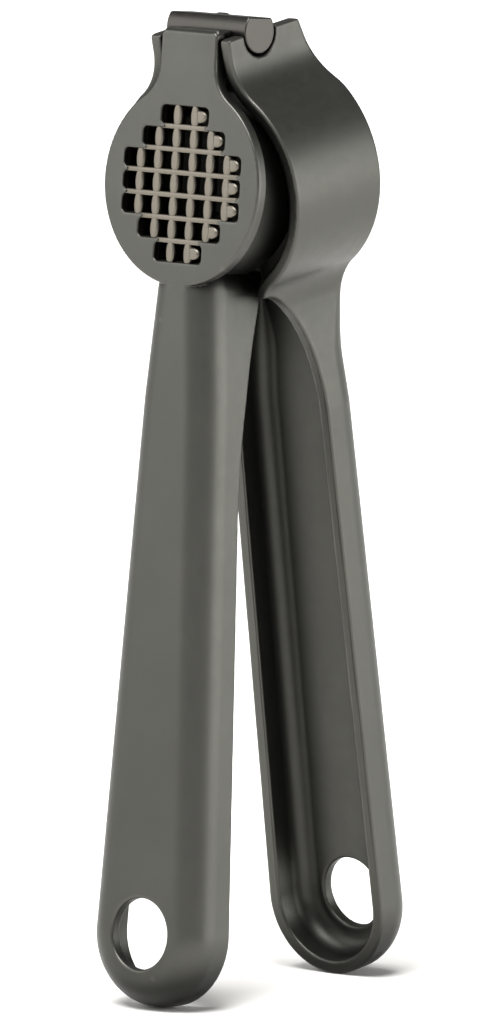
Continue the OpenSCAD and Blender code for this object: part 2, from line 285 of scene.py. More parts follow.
def tapered(x, u, top, foot):
    """Outline of two round ends, each (radius, drop), joined by straight sides."""
    (r1, u1), (r2, u2) = top, foot
    slope = (r1 - r2) / (u2 - u1)
    lean = math.sqrt(1 - slope * slope)
    ax, du = np.abs(x), u - u1
    along = du * lean - ax * slope
    side = ax * lean + du * slope - r1
    return np.where(
        along < 0,
        np.hypot(ax, du) - r1,
        np.where(along > (u2 - u1) * lean, np.hypot(ax, u - u2) - r2, side),
    )


def round_head(x, u, radius, centre, neck, neck_fillet, throat=None, throat_fillet=0.0, foot=0.0):
    """Outline of a round head filleted into a neck above it and, where one is given, a throat below it."""
    ax = np.abs(x)
    d = np.minimum(np.hypot(ax, u - centre) - radius, np.maximum(ax - neck, u - centre))
    sides = [(neck, neck_fillet, -1.0)]
    if throat is not None:
        d = np.minimum(d, np.maximum(np.maximum(ax - throat, centre - u), u - foot))
        sides.append((throat, throat_fillet, 1.0))
    for width, fillet, way in sides:
        reach = width + fillet
        rise = math.sqrt((radius + fillet) ** 2 - reach**2)
        dx, du = ax - reach, (u - centre - way * rise) * -way
        d = np.where((dx < 0) & (du > 0) & (du < -dx * rise / reach), fillet - np.hypot(dx, du), d)
    return d


def bands(*spans):
    """Grid positions along one axis: spans of (from, to, step)."""
    parts = [np.linspace(a, b, max(2, int(math.ceil((b - a) / step)) + 1))[:-1] for a, b, step in spans]
    return np.concatenate([*parts, [spans[-1][1]]])


CORNERS = [(i, j, k) for i in (0, 1) for j in (0, 1) for k in (0, 1)]
CELL_EDGES = [
    (a, b)
    for a in range(8)
    for b in range(a + 1, 8)
    if sum(p != q for p, q in zip(CORNERS[a], CORNERS[b])) == 1
]


def slopes(solid, points, reach=0.04):
    """How a solid's distance changes along each axis."""
    rows = []
    for axis in range(3):
        ahead, behind = points.copy(), points.copy()
        ahead[:, axis] += reach
        behind[:, axis] -= reach
        rows.append((solid(*ahead.T) - solid(*behind.T)) / (2 * reach))
    return np.stack(rows, 1)


def skin(solid, xs, ys, zs):
    """Closed skin of a solid over a grid: its points, its four-sided faces and its outward directions."""
    axes = [np.asarray(a, np.float64) for a in (xs, ys, zs)]
    field = solid(*np.meshgrid(*axes, indexing="ij", sparse=False))
    inside = field < 0
    nx, ny, nz = (n - 1 for n in field.shape)
    count = sum(inside[i : i + nx, j : j + ny, k : k + nz].astype(np.int8) for i, j, k in CORNERS)
    cells = np.argwhere((count > 0) & (count < 8))
    index = np.full(count.shape, -1, np.int64)
    index[tuple(cells.T)] = np.arange(len(cells))
    corner_at = np.stack([np.stack([axes[n][cells[:, n] + c[n]] for n in range(3)], 1) for c in CORNERS], 1)
    value = np.stack([field[cells[:, 0] + i, cells[:, 1] + j, cells[:, 2] + k] for i, j, k in CORNERS], 1)
    total, crossings = np.zeros((len(cells), 3)), np.zeros(len(cells))
    for a, b in CELL_EDGES:
        crosses = (value[:, a] < 0) != (value[:, b] < 0)
        t = np.where(crosses, value[:, a] / np.where(crosses, value[:, a] - value[:, b], 1), 0)
        total += np.where(
            crosses[:, None], corner_at[:, a] + t[:, None] * (corner_at[:, b] - corner_at[:, a]), 0
        )
        crossings += crosses
    points = total / crossings[:, None]
    for _ in range(3):
        slope = slopes(solid, points)
        step = -solid(*points.T)[:, None] * slope / np.maximum((slope**2).sum(1, keepdims=True), 0.2)
        points += np.clip(step, -0.25, 0.25)
    quads = []
    for axis in range(3):
        b, c = (axis + 1) % 3, (axis + 2) % 3
        crossing = np.argwhere(np.diff(inside.astype(np.int8), axis=axis) != 0)
        keep = (crossing[:, b] > 0) & (crossing[:, c] > 0) & (
            crossing[:, b] < count.shape[b]
        ) & (crossing[:, c] < count.shape[c])
        crossing = crossing[keep]
        ring = []
        for db, dc in ((-1, -1), (0, -1), (0, 0), (-1, 0)):
            cell = crossing.copy()
            cell[:, b] += db
            cell[:, c] += dc
            ring.append(index[tuple(cell.T)])
        quad = np.stack(ring, 1)
        out = inside[tuple(crossing.T)]
        quads.append(np.where(out[:, None], quad, quad[:, ::-1]))
    slope = slopes(solid, points)
    return points, np.concatenate(quads), slope / np.linalg.norm(slope, axis=1, keepdims=True)


def skinned_piece(name, arm, solid, xs, ys, zs):
    """A smooth piece from a solid's skin, placed in the row's frame."""
    points, quads, outward = skin(solid, xs, ys, zs)
    if quads.min() < 0 or not len(quads):
        raise RuntimeError(f"{name} runs out of its grid")
    mesh = bpy.data.meshes.new(name)
    mesh.vertices.add(len(points))
    mesh.vertices.foreach_set("co", arm.to_row(points).astype(np.float32).ravel())
    mesh.loops.add(quads.size)
    mesh.loops.foreach_set("vertex_index", quads.astype(np.int32).ravel())
    mesh.polygons.add(len(quads))
    mesh.polygons.foreach_set("loop_start", np.arange(0, quads.size, 4, dtype=np.int32))
    mesh.update(calc_edges=True)
    mesh.validate()
    mesh.polygons.foreach_set("use_smooth", np.ones(len(quads), bool))
    mesh.normals_split_custom_set_from_vertices(arm.turned(outward).tolist())
    piece = bpy.data.objects.new(name, mesh)
    bpy.context.collection.objects.link(piece)
    return piece


def finish_piece(piece, body, slot, material, *nodes):
    """Gives a piece its material and body, and hides the CAD nodes that it stands for; the slot is not used.
    """
    piece.data.materials.clear()
    piece.data.materials.append(material)
    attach(piece, body)
    if nodes:
        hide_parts(*nodes)


# ---------------------------------------------------------------- the pieces

# Roundings, fillets, laps and clearances of the skins, in mm
NECK_TOP_EDGE = 1.0
CUP_LAP = 1.0
CUP_REACH = 0.6
CUP_FILLET = 0.5
SADDLE_EDGE = 0.8
SADDLE_LAP = 1.5
SADDLE_FILLET = 0.6
BAR_SEAT_GAP = 0.03
BAR_SEAT_EDGE = 0.2
OPENING_GAP = 0.15
OPENING_CORNER = 0.95
OPENING_EDGE = 0.22
STEP_INSET = 0.75
STEP_CORNER = 0.05
SKIRT_EDGE = 0.8
SKIRT_TOP_EDGE = 0.4
EDGE_BLEND = 20.0
EDGE_BLEND_START = 8.0
INNER_EDGE = 1.0
NECK_RUN_ON = 6.0
GRIP_LAP = 0.5
GRIP_INSET = 0.05
SLANT_EDGE = 0.8
NOTCH_EDGE = 0.3
HOOK_TOP_EDGE = 0.4
HOOK_CORNER = 0.75
HOOK_CORNER_EDGE = 0.9
LUG_EDGE = 0.35
LUG_FILLET = 0.9
BORE_GAP = 0.02
BORE_REACH = 0.6
ROD_EDGE = 0.25
ROD_END_EDGE = 0.3
LUG_GAP = 0.4
STEM_LENGTH = 3.0
STEM_EDGE = 0.4
STEM_FILLET = 1.4
STEM_LAP = 0.6
PAD_EDGE = 0.5
PIN_GAP = 0.06
PIN_END_EDGE = 0.3
TIP_LENGTH = 27.0
FRONT_FINE_FROM = -54.0
REAR_FINE_FROM = -74.0
FRONT_GRIP_STEP = 1.0
REAR_GRIP_STEP = 1.5
REAR_STEP_MORE = 0.02
SMALL_STEP = 0.2
PAD_STEP = 0.42
FAR = 9.0
ARCH_INSIDE = 6.0

# Shares: of the flare's radius that its climb may use, and of the arch's size that counts as its core
FLARE_SHARE = 0.4
ARCH_CORE = 0.3


def sieve_rows(sieve):
    """Pitch of the holes and, for each row, how many it has and how far it lies above the cup's middle."""
    reach = sieve.cup_bore_mm / 2 - sieve.rim_land_mm
    b = 3 * sieve.hole_w_mm + sieve.hole_h_mm
    c = (sieve.hole_w_mm**2 + sieve.hole_h_mm**2) / 4 - reach**2
    pitch = (math.sqrt(b * b - 40 * c) - b) / 20
    middle = (len(sieve.rows) - 1) / 2
    return pitch, [(n, (middle - i) * pitch) for i, n in enumerate(sieve.rows)]


class Millimetres:
    """A property group read in mm: each length with _mm after its name, and anything else as it is."""

    def __init__(self, *groups):
        self.groups = groups

    def __getattr__(self, name):
        for group in self.groups:
            if name.endswith("_mm") and hasattr(group, name[:-3]):
                return getattr(group, name[:-3]) / MM
            if hasattr(group, name):
                return getattr(group, name)
        raise AttributeError(name)


def front_casting_solid(s):
    """Front arm: channel grip, face plate with its opening, round cup and the saddle for the bar."""
    low, high = FRONT.box("front_handle")
    plate_low, plate_high = FRONT.box("front_face_plate")
    cup_low, cup_high = FRONT.box("front_cup_wall")
    lug_low, lug_high = FRONT.box("front_hinge_lug")
    bar_low, bar_high = FRONT.box("hinge_bar")
    bar_r = -bar_low[2]
    face = plate_low[1]
    centre = -(cup_low[2] + cup_high[2]) / 2
    tip = (high[0], -FRONT.hole[2])
    waist, top = (s.waist_w_mm / 2, s.waist_z_mm), (s.top_w_mm / 2, s.top_z_mm)
    rim_y = face + s.rim_mm
    pitch, rows = sieve_rows(s)

    def solid(x, y, z):
        u = -z
        outline = np.minimum(tapered(x, u, waist, tip), tapered(x, u, top, waist))
        body = rounded_all(outline, face - y, s.edge_mm)
        climb = np.clip(s.flare_z_mm - u, 0, s.flare_r_mm * FLARE_SHARE)
        rim = rim_y + s.flare_r_mm - np.sqrt(s.flare_r_mm**2 - climb**2)
        grip = rounded_all(body, y - rim, s.rim_edge_mm)
        hollow = rounded_all(outline + s.wall_mm, face + s.wall_mm - y, s.edge_mm - s.wall_mm)
        grip = rounded_all(grip, -hollow, s.rim_edge_mm)
        grip = rounded_all(grip, s.hole_r - np.hypot(x, u - tip[1]), s.rim_edge_mm)
        round_x = np.hypot(x, u - centre)
        grip = np.maximum(grip, np.where(y < plate_high[1], -FAR, cup_high[0] - CUP_REACH - round_x))
        plate = round_head(x, u, plate_high[0], centre, s.neck_w_mm / 2, s.neck_fillet_mm)
        plate = rounded_all(plate, -u - plate_high[2], NECK_TOP_EDGE)
        plate_half = (plate_high[1] - face) / 2
        plate = rounded_all(plate, np.abs(y - (face + plate_high[1]) / 2) - plate_half, s.plate_edge_mm)
        cup_mid = (s.cup_bore_mm / 2 + cup_high[0]) / 2
        cup_half = (cup_high[0] - s.cup_bore_mm / 2) / 2
        cup_front = plate_high[1] - CUP_LAP
        cup_depth = cup_high[1] - cup_front
        cup_y = y - (cup_front + cup_high[1]) / 2
        cup = rounded_box(round_x - cup_mid, cup_y, cup_half, cup_depth / 2, s.rim_edge_mm)
        lug_half = (lug_high[2] - lug_low[2]) / 2
        saddle = rounded_box(x, u - lug_half, lug_high[0], lug_half, SADDLE_EDGE)
        saddle = rounded_all(saddle, y - lug_high[1], SADDLE_EDGE)
        saddle = np.maximum(saddle, plate_high[1] - SADDLE_LAP - y)
        head = filleted_any(plate, saddle, SADDLE_FILLET)
        head = filleted_any(head, cup, CUP_FILLET)
        head = rounded_all(head, bar_r + BAR_SEAT_GAP - np.hypot(y, u), BAR_SEAT_EDGE)
        opening = None
        for count, rise in rows:
            half = ((count - 1) * pitch + s.hole_w_mm) / 2 + OPENING_GAP
            row = rounded_box(x, u - centre + rise, half, s.hole_h_mm / 2 + OPENING_GAP, OPENING_CORNER)
            opening = row if opening is None else np.minimum(opening, row)
        for (above, rise), (below, _) in zip(rows, rows[1:]):
            half = ((min(above, below) - 1) * pitch + s.hole_w_mm) / 2 - STEP_INSET
            step = rounded_box(x, u - centre + rise - pitch / 2, half, pitch / 2, STEP_CORNER)
            opening = np.minimum(opening, step)
        seat = np.maximum(round_x - s.cup_bore_mm / 2, face + s.opening_mm - y)
        opened = rounded_all(head, -opening, OPENING_EDGE)
        head = np.where(y < plate_high[1] + s.rim_edge_mm, opened, head)
        head = np.maximum(head, -seat)
        return np.minimum(grip, head)

    return solid, (low, high, plate_low, plate_high, cup_high)


class PRESS_OT_front_casting(bpy.types.Operator):
    """Makes the front casting as one smooth piece"""

    bl_idname = "press.front_casting"
    bl_label = "Front casting"

    def execute(self, context):
        scene = context.scene
        s = Millimetres(scene.press_front, scene.press_casting, scene.press_sieve)
        s.hole_r = FRONT.hole_r
        solid, (low, high, plate_low, plate_high, cup_high) = front_casting_solid(s)
        fine = s.skin_step_mm
        side = plate_high[0] + 1
        xs = bands((-side, side, fine))
        ys = bands((plate_low[1] - 1, high[1] + 1, fine))
        tip_top = low[2] + TIP_LENGTH
        grip = (tip_top, FRONT_FINE_FROM, FRONT_GRIP_STEP)
        zs = bands((low[2] - 1, tip_top, fine), grip, (FRONT_FINE_FROM, plate_high[2] + 1, fine))
        piece = skinned_piece("front_casting", FRONT, solid, xs, ys, zs)
        nodes = ("front_handle", "front_face_plate", "front_cup_wall", "front_hinge_lug")
        finish_piece(piece, "front_arm", "casting", satin_coat(scene.press_finish), *nodes)
        return {"FINISHED"}


def rear_casting_solid(s):
    """Rear arm: channel grip under an arch, the skirt, its two hooks and the lugs of the pin."""
    low, high = REAR.box("rear_handle")
    skirt_low, skirt_high = REAR.box("rear_skirt")
    lug_low, lug_high = REAR.box("right_plunger_lug")
    pin_low, pin_high = REAR.box("plunger_pin")
    cup_low, cup_high = FRONT.box("front_cup_wall")
    front, back = skirt_low[1] + s.hook_bow_mm, skirt_high[1]
    bow_r = (s.bow_drop_mm**2 + s.hook_bow_mm**2) / (2 * s.hook_bow_mm)
    centre = -(cup_low[2] + cup_high[2]) / 2
    tip = (high[0], -REAR.hole[2])
    waist = (s.waist_w_mm / 2, s.waist_z_mm)
    top = (s.throat_w_mm / 2 - GRIP_INSET, s.throat_z_mm + GRIP_LAP)
    rim_y = back - s.rim_mm
    notch_r = s.notch_mm / 2
    pin = ((pin_low[1] + pin_high[1]) / 2, -(pin_low[2] + pin_high[2]) / 2)
    pin_r = (pin_high[1] - pin_low[1]) / 2
    boss_r = (lug_high[2] - lug_low[2]) / 2
    slant_run = s.slant_drop_mm + skirt_high[2]
    slant_length = math.hypot(slant_run, s.slant_depth_mm)

    def outline(x, u, inset):
        grip = np.minimum(tapered(x, u, waist, tip), tapered(x, u, top, waist)) + inset
        head = round_head(
            x, u, skirt_high[0] - inset, centre, s.neck_w_mm / 2 - inset, s.neck_fillet_mm + inset,
            s.throat_w_mm / 2 - inset, s.throat_fillet_mm + inset, s.throat_z_mm + NECK_RUN_ON,
        )
        return np.minimum(grip, head)

    def solid(x, y, z):
        u = -z
        blend = np.clip((u - s.throat_z_mm + EDGE_BLEND_START) / EDGE_BLEND, 0, 1)
        edge = SKIRT_EDGE + (s.edge_mm - SKIRT_EDGE) * blend * blend * (3 - 2 * blend)
        body = rounded_all(outline(x, u, 0), y - back, edge)
        climb = np.clip(s.bow_drop_mm - u, 0, s.bow_drop_mm + NECK_RUN_ON)
        rim = front - bow_r + np.sqrt(bow_r**2 - climb**2)
        body = rounded_all(body, rim - y, s.rim_edge_mm)
        reach, rise = rim_y - front, s.arch_mm
        arch_u = u - s.throat_z_mm + s.arch_lift_mm - rise
        near = np.hypot((y - front) / reach, arch_u / rise)
        steep = np.hypot((y - front) / reach**2, arch_u / rise**2)
        arch = np.where(arch_u < 0, near * (near - 1) / np.maximum(steep, 1e-6), y - rim_y)
        arch = np.where((arch_u < 0) & (near < ARCH_CORE), -ARCH_INSIDE, arch)
        body = rounded_all(body, -arch, s.rim_edge_mm)
        body = rounded_all(body, -u - skirt_high[2], SKIRT_TOP_EDGE)
        slant = (y - back + s.slant_depth_mm) * slant_run - (u + skirt_high[2]) * s.slant_depth_mm
        body = rounded_all(body, slant / slant_length, SLANT_EDGE)
        inner_edge = np.maximum(edge - s.wall_mm, INNER_EDGE)
        hollow = rounded_all(outline(x, u, s.wall_mm), y - back + s.wall_mm, inner_edge)
        between_hooks = np.maximum(np.abs(x) - s.neck_w_mm / 2 + s.wall_mm, u - s.back_top_mm)
        hollow = np.minimum(hollow, np.maximum(between_hooks, -y))
        body = rounded_all(body, -hollow, s.rim_edge_mm)
        body = rounded_all(body, s.hole_r - np.hypot(x, u - tip[1]), s.rim_edge_mm)
        notch = np.where(u > 0, np.hypot(y, u), np.abs(y)) - notch_r
        body = rounded_all(body, -notch, NOTCH_EDGE)
        top = -u - s.hook_top_mm
        corner = (front - s.hook_bow_mm - y + top) / math.sqrt(2) + HOOK_CORNER
        topped = rounded_all(rounded_all(body, top, HOOK_TOP_EDGE), corner, HOOK_CORNER_EDGE)
        body = np.where(y < 0, topped, body)
        lug = np.where(y < pin[0], np.hypot(y - pin[0], u - pin[1]), np.abs(u - pin[1])) - boss_r
        lug_x = np.abs(np.abs(x) - (lug_low[0] + lug_high[0]) / 2)
        lug = rounded_all(lug, lug_x - s.lug_t_mm / 2, LUG_EDGE)
        lug = np.maximum(lug, y - back + s.wall_mm / 2)
        body = filleted_any(body, lug, LUG_FILLET)
        round_pin = np.hypot(y - pin[0], u - pin[1])
        bore = np.maximum(round_pin - pin_r - BORE_GAP, np.abs(x) - lug_high[0] - BORE_REACH)
        return np.maximum(body, -bore)

    return solid, (low, high, skirt_low, skirt_high)


class PRESS_OT_rear_casting(bpy.types.Operator):
    """Makes the rear casting as one smooth piece"""

    bl_idname = "press.rear_casting"
    bl_label = "Rear casting"

    def execute(self, context):
        scene = context.scene
        s = Millimetres(scene.press_rear, scene.press_casting)
        s.hole_r = REAR.hole_r
        solid, (low, high, skirt_low, skirt_high) = rear_casting_solid(s)
        fine = s.skin_step_mm + REAR_STEP_MORE
        side = skirt_high[0] + 1
        xs = bands((-side, side, fine))
        ys = bands((skirt_low[1] - 1, skirt_high[1] + 1, fine))
        tip_top = low[2] + TIP_LENGTH
        grip = (tip_top, REAR_FINE_FROM, REAR_GRIP_STEP)
        zs = bands((low[2] - 1, tip_top, fine), grip, (REAR_FINE_FROM, skirt_high[2] + 1, fine))
        piece = skinned_piece("rear_casting", REAR, solid, xs, ys, zs)
        nodes = ("rear_handle", "rear_skirt", "left_plunger_lug", "right_plunger_lug")
        finish_piece(piece, "rear_arm", "casting", satin_coat(scene.press_finish), *nodes)
        return {"FINISHED"}


class PRESS_OT_hinge_bar(bpy.types.Operator):
    """Makes the hinge bar, a rod with a flat along its top"""

    bl_idname = "press.hinge_bar"
    bl_label = "Hinge bar"

    def execute(self, context):
        low, high = FRONT.box("hinge_bar")

        def solid(x, y, z):
            rod = rounded_all(np.hypot(y, z) + low[2], z - high[2], ROD_EDGE)
            return rounded_all(rod, np.abs(x) - high[0], ROD_END_EDGE)

        grid = [bands((low[n] - 0.6, high[n] + 0.6, SMALL_STEP)) for n in range(3)]
        piece = skinned_piece("hinge_rod", FRONT, solid, *grid)
        finish_piece(piece, "front_arm", "bar", turned_bar(context.scene.press_finish), "hinge_bar")
        return {"FINISHED"}


class PRESS_OT_plunger(bpy.types.Operator):
    """Makes the plunger's round pad with its stem, and the pin that it rocks on"""

    bl_idname = "press.plunger"
    bl_label = "Plunger and pin"

    def execute(self, context):
        finish = context.scene.press_finish
        low, high = REAR.box("plunger")
        pin_low, pin_high = REAR.box("plunger_pin")
        lug_low, lug_high = REAR.box("right_plunger_lug")
        pin_y, pin_z = (pin_low[1] + pin_high[1]) / 2, (pin_low[2] + pin_high[2]) / 2
        pin_r = (pin_high[1] - pin_low[1]) / 2
        boss_r = (lug_high[2] - lug_low[2]) / 2
        stem = lug_low[0] - LUG_GAP
        pad_back = pin_y - boss_r - STEM_LENGTH

        def plunger(x, y, z):
            across = np.hypot(x, z - pin_z)
            pad_y = y - (low[1] + pad_back) / 2
            pad = rounded_box(across, pad_y, high[0], (pad_back - low[1]) / 2, PAD_EDGE)
            boss = np.where(y > pin_y, np.hypot(y - pin_y, z - pin_z), np.abs(z - pin_z)) - boss_r
            boss = rounded_all(np.maximum(boss, low[1] + STEM_LAP - y), np.abs(x) - stem, STEM_EDGE)
            both = filleted_any(pad, boss, STEM_FILLET)
            return np.maximum(both, pin_r + PIN_GAP - np.hypot(y - pin_y, z - pin_z))

        grid = [bands((low[n] - 1, high[n] + 1, PAD_STEP)) for n in range(3)]
        piece = skinned_piece("plunger_pad", REAR, plunger, *grid)
        finish_piece(piece, "plunger", "casting", satin_coat(finish), "plunger")

        def pin(x, y, z):
            return rounded_all(
                np.hypot(y - pin_y, z - pin_z) - pin_r, np.abs(x) - pin_high[0], PIN_END_EDGE
            )

        grid = [bands((pin_low[n] - 0.5, pin_high[n] + 0.5, SMALL_STEP)) for n in range(3)]
        piece = skinned_piece("pin", REAR, pin, *grid)
        finish_piece(piece, "rear_arm", "steel", stainless_steel(finish), "plunger_pin")
        return {"FINISHED"}


def add_node(tree, kind, settings=None, **links):
    """Adds a node, sets its properties, and gives each named or numbered input a value or a link."""
    node = tree.nodes.new(kind)
    for name, value in (settings or {}).items():
        setattr(node, name, value)
    for name, value in links.items():
        numbered = name[0] == "_" and name[1:].isdigit()
        socket = node.inputs[int(name[1:]) if numbered else name.replace("_", " ")]
        if isinstance(value, bpy.types.NodeSocket):
            tree.links.new(value, socket)
        else:
            socket.default_value = value
    return node


def setting_tree(name, shape_of, material):
    """Geometry nodes that set a shape on each point, as wide as the point's width, with named inputs."""
    tree = bpy.data.node_groups.new(name, "GeometryNodeTree")
    sockets = tree.interface
    sockets.new_socket("Geometry", in_out="INPUT", socket_type="NodeSocketGeometry")
    for label, default in (("Height", 0.0036), ("Depth", 0.0012), ("Crown", 0.45)):
        sockets.new_socket(label, in_out="INPUT", socket_type="NodeSocketFloat").default_value = default
    sockets.new_socket("Geometry", in_out="OUTPUT", socket_type="NodeSocketGeometry")
    given = add_node(tree, "NodeGroupInput")
    shape, part = shape_of(tree, given)
    width = add_node(tree, "GeometryNodeInputNamedAttribute", {"data_type": "FLOAT"}, Name="width")
    sizes = [
        add_node(tree, "ShaderNodeMath", {"operation": "MULTIPLY"}, _0=size_of, _1=part).outputs[0]
        for size_of in (width.outputs[0], given.outputs["Depth"], given.outputs["Height"])
    ]
    scale = add_node(tree, "ShaderNodeCombineXYZ", _0=sizes[0], _1=sizes[1], _2=sizes[2])
    set_out = add_node(
        tree,
        "GeometryNodeInstanceOnPoints",
        Points=given.outputs[0],
        Instance=shape,
        Scale=scale.outputs[0],
    )
    real = add_node(tree, "GeometryNodeRealizeInstances", Geometry=set_out.outputs[0])
    coated = add_node(tree, "GeometryNodeSetMaterial", Geometry=real.outputs[0], Material=material)
    add_node(tree, "NodeGroupOutput", _0=coated.outputs[0])
    return tree


def domed_bar(tree, given):
    """A grain of rice cut flat in front: how far out it is cut is the crown."""
    ball = add_node(tree, "GeometryNodeMeshUVSphere", Segments=24, Rings=12, Radius=1.0)
    at = add_node(tree, "ShaderNodeSeparateXYZ", _0=add_node(tree, "GeometryNodeInputPosition").outputs[0])
    crown = add_node(tree, "ShaderNodeMath", {"operation": "MULTIPLY"}, _0=given.outputs["Crown"], _1=-1.0)
    cut = add_node(tree, "ShaderNodeMath", {"operation": "MAXIMUM"}, _0=at.outputs[1], _1=crown.outputs[0])
    shaped = add_node(tree, "ShaderNodeCombineXYZ", _0=at.outputs[0], _1=cut.outputs[0], _2=at.outputs[2])
    return add_node(
        tree, "GeometryNodeSetPosition", Geometry=ball.outputs[0], Position=shaped.outputs[0]
    ).outputs[0], 0.5


def rib_beam(tree, given):
    """A straight beam, with its ends drawn in by the crown."""
    beam = add_node(tree, "GeometryNodeMeshCube", Size=(1.0, 1.0, 1.0), _1=5, _2=2, _3=3)
    at = add_node(tree, "ShaderNodeSeparateXYZ", _0=add_node(tree, "GeometryNodeInputPosition").outputs[0])
    waist = add_node(
        tree,
        "ShaderNodeMath",
        {"operation": "MULTIPLY"},
        _0=given.outputs["Crown"],
        _1=add_node(tree, "ShaderNodeMath", {"operation": "ABSOLUTE"}, _0=at.outputs[0]).outputs[0],
    )
    keep = add_node(tree, "ShaderNodeMath", {"operation": "SUBTRACT"}, _0=1.0, _1=waist.outputs[0])
    tall = add_node(tree, "ShaderNodeMath", {"operation": "MULTIPLY"}, _0=at.outputs[2], _1=keep.outputs[0])
    shaped = add_node(tree, "ShaderNodeCombineXYZ", _0=at.outputs[0], _1=at.outputs[1], _2=tall.outputs[0])
    return add_node(
        tree, "GeometryNodeSetPosition", Geometry=beam.outputs[0], Position=shaped.outputs[0]
    ).outputs[0], 1.0


def bevel(piece, width):
    """Rounds the sharp edges of a piece that is still drawn in mm."""
    shape = bmesh.new()
    shape.from_mesh(piece.data)
    bmesh.ops.remove_doubles(shape, verts=shape.verts, dist=1e-5)
    sharp = [e for e in shape.edges if len(e.link_faces) == 2 and e.calc_face_angle() > 0.5]
    bmesh.ops.bevel(shape, geom=sharp, offset=width, segments=2, profile=0.5, affect="EDGES")
    shape.to_mesh(piece.data)
    shape.free()


def repeated(name, points, widths, shape_of, material, values):
    """A plain mesh of a shape set on points with their widths; values go to its tree's named inputs."""
    tree = setting_tree(name, shape_of, material)
    seeds = bpy.data.meshes.new(name)
    seeds.from_pydata([tuple(p) for p in points], [], [])
    seeds.attributes.new("width", "FLOAT", "POINT").data.foreach_set("value", np.array(widths, np.float32))
    maker = bpy.data.objects.new(name, seeds)
    bpy.context.collection.objects.link(maker)
    modifier = maker.modifiers.new("repeat", "NODES")
    modifier.node_group = tree
    for item in tree.interface.items_tree:
        if item.in_out == "INPUT" and item.name in values:
            modifier[item.identifier] = values[item.name]
    bpy.context.view_layer.update()
    graph = bpy.context.evaluated_depsgraph_get()
    mesh = bpy.data.meshes.new_from_object(maker.evaluated_get(graph), depsgraph=graph)
    bpy.data.objects.remove(maker)
    mesh.name = name
    piece = bpy.data.objects.new(name, mesh)
    bpy.context.collection.objects.link(piece)
    return piece


class PRESS_OT_sieve(bpy.types.Operator):
    """Finishes the sieve insert with lens-shaped bars between its holes"""

    bl_idname = "press.sieve"
    bl_label = "Sieve"

    def execute(self, context):
        scene = context.scene
        s = Millimetres(scene.press_sieve, scene.press_front)
        steel = stainless_steel(scene.press_finish)
        sheet = frame["nodes"]["sieve_insert"]
        # Painted shade: the sheet behind the holes is painted dark steel.
        sheet.data.materials.clear()
        sheet.data.materials.append(steel_painted_shade(scene.press_finish))
        low, high = FRONT.box("sieve_insert")
        face = FRONT.box("front_face_plate")[0][1]
        pitch, rows = sieve_rows(s)
        centre = (low[2] + high[2]) / 2
        bars, tongues, ribs, rib_widths = [], [], [], []
        bar_y, tongue_y = face + s.bar_set_mm, face + s.tongue_set_mm
        for count, rise in rows:
            bars += [(pitch * (k + 1 - count / 2), bar_y, centre + rise) for k in range(count - 1)]
            tongues.append((pitch * (count / 2 - 1) + s.tongue_mm / 2, tongue_y, centre + rise))
        for (above, rise), (below, _) in zip(rows, rows[1:]):
            ribs.append((0.0, bar_y, centre + rise - pitch / 2))
            rib_widths.append((min(above, below) - 1) * pitch + s.hole_w_mm + s.rib_reach_mm)
        bar_widths = [s.bar_w_mm] * len(bars)
        tongue_widths = [s.tongue_mm + s.tongue_start_mm] * len(tongues)
        bar_shape = {"Height": s.hole_h_mm + s.bar_reach_mm, "Depth": s.bar_d_mm, "Crown": s.crown}
        tongue_shape = {"Height": s.hole_h_mm * s.tongue_h, "Depth": s.bar_d_mm, "Crown": s.crown}
        rib_shape = {"Height": s.rib_h_mm, "Depth": s.rib_d_mm, "Crown": s.rib_taper}
        made = [
            repeated("sieve_bars", bars, bar_widths, domed_bar, steel, bar_shape),
            repeated("sieve_tongues", tongues, tongue_widths, domed_bar, steel, tongue_shape),
            repeated("sieve_ribs", ribs, rib_widths, rib_beam, steel, rib_shape),
        ]
        bevel(made[2], s.rib_edge_mm)
        for piece in made:
            co = np.array([v.co for v in piece.data.vertices])
            piece.data.vertices.foreach_set("co", FRONT.to_row(co).astype(np.float32).ravel())
            piece.data.polygons.foreach_set("use_smooth", np.ones(len(piece.data.polygons), bool))
            piece.data.update()
            finish_piece(piece, "front_arm", "steel", steel)
        return {"FINISHED"}


# ---------------------------------------------------------------- finishes


def linear(hex_value):
    """An sRGB hex colour as linear red, green, blue and alpha."""
    parts = [int(hex_value.lstrip("#")[i : i + 2], 16) / 255 for i in (0, 2, 4)]
    return (*[c / 12.92 if c <= 0.04045 else ((c + 0.055) / 1.055) ** 2.4 for c in parts], 1.0)


def new_material(name):
    """An empty material's tree with its shader and its Object coordinates."""
    if name in bpy.data.materials:
        return bpy.data.materials[name], None, None, None
    material = bpy.data.materials.new(name)
    material.use_nodes = True
    tree = material.node_tree
    tree.nodes.clear()
    shader = add_node(tree, "ShaderNodeBsdfPrincipled")
    add_node(tree, "ShaderNodeOutputMaterial", _0=shader.outputs[0])
    where = add_node(tree, "ShaderNodeTexCoord").outputs["Object"]
    return material, tree, shader, where


def spread(tree, value, low, high, start=0.3, end=0.7):
    """A value between start and end, spread from low to high."""
    return add_node(
        tree, "ShaderNodeMapRange", Value=value, From_Min=start, From_Max=end, To_Min=low, To_Max=high
    ).outputs[0]


def scaled(tree, tint, factor):
    """A colour made lighter or darker."""
    return add_node(tree, "ShaderNodeVectorMath", {"operation": "SCALE"}, _0=tint, Scale=factor).outputs[0]


